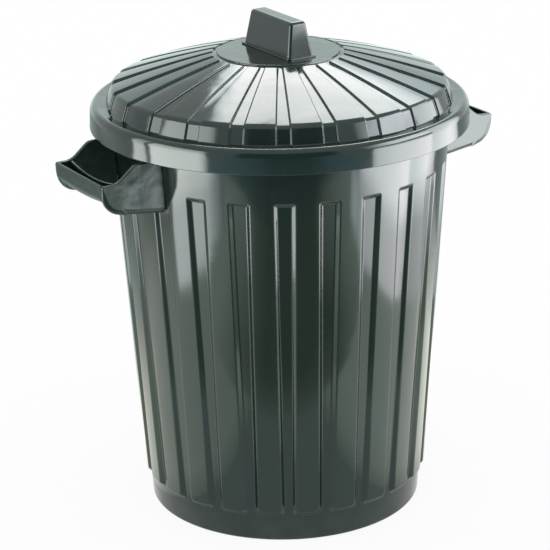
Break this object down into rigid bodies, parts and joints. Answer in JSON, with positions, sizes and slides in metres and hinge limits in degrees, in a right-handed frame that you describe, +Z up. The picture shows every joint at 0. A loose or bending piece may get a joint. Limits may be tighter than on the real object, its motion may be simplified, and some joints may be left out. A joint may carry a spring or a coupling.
{
  "type": "plastic waste bin",
  "caption": "Round tapered waste bin with a fluted wall, a domed fluted lid that lifts off by a block knob, and side handles.",
  "frame": {"origin": "middle of the foot, on the floor that the bin stands on", "axes": "+Z up; the two handles lie along X, and the knob is long along Y"},
  "size_m": [0.596, 0.5, 0.6664],
  "materials": {
    "plastic": "smooth moulded plastic, glossy, dark green-grey"
  },
  "bodies": {
    "tub": {"tub": "plastic", "handle_left": "plastic", "handle_right": "plastic"},
    "lid": {"lid": "plastic", "knob": "plastic"}
  },
  "joints": [
    {"name": "lid_lift", "type": "slide", "parent": "tub", "child": "lid", "axis": [0, 0, 1], "range_m": [0, 0.25]}
  ]
}
